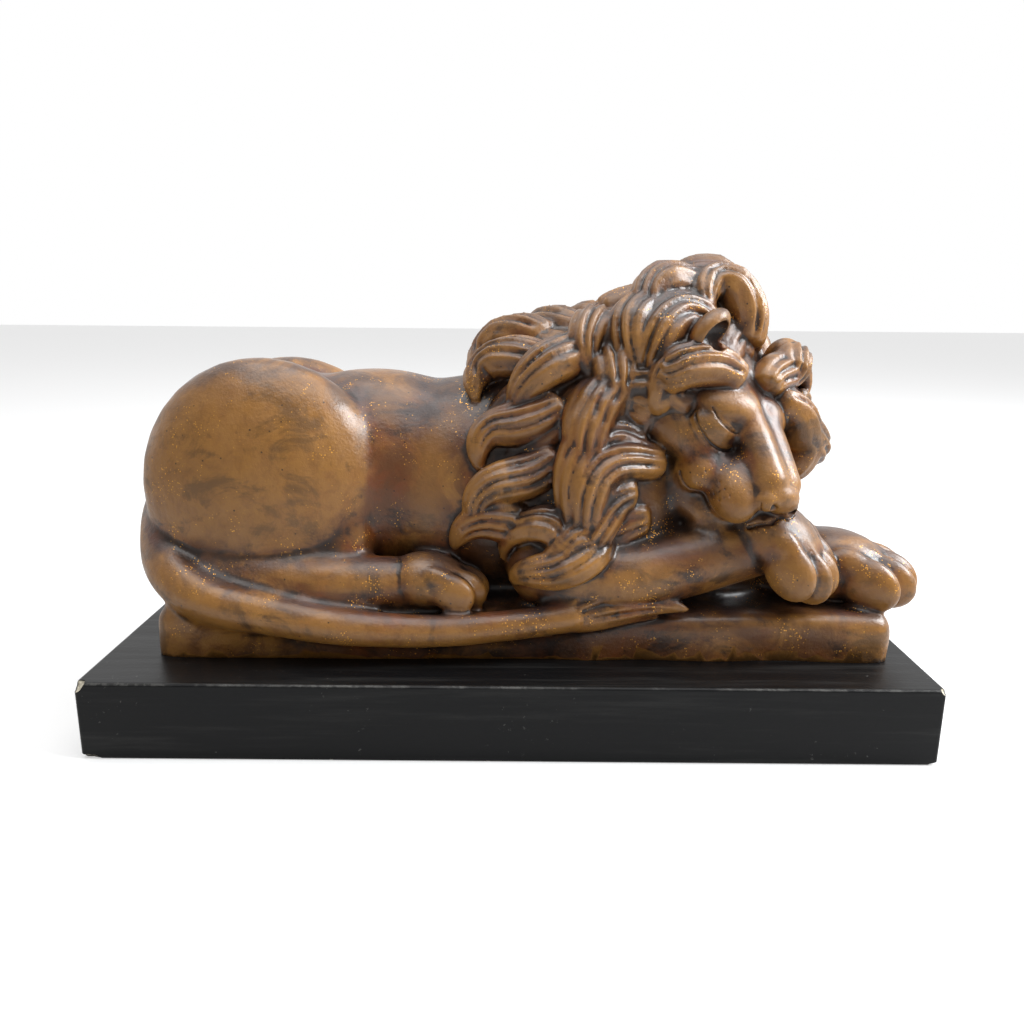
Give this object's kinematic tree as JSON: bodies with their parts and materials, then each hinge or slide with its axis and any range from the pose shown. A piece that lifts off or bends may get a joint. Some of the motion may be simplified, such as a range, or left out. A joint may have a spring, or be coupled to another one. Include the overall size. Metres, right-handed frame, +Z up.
{
  "type": "sleeping lion ornament",
  "caption": "Cast figure of a sleeping lion with its head on its crossed forepaws, on a low ground slab and a black painted plinth; a shelf or desk ornament.",
  "frame": {"origin": "middle of the plinth's underside", "axes": "+X along the plinth towards the lion's forepaws, +Y away from the side its face looks to, +Z up"},
  "size_m": [0.22, 0.1, 0.124],
  "materials": {
    "patinated_cast": "cast plaster or resin with a mottled golden brown patina, gold highlights and a worn varnish",
    "black_paint": "satin black paint with pale chips at its corners"
  },
  "bodies": {
    "root": {"lion": "patinated_cast", "plinth": "black_paint"}
  },
  "joints": []
}
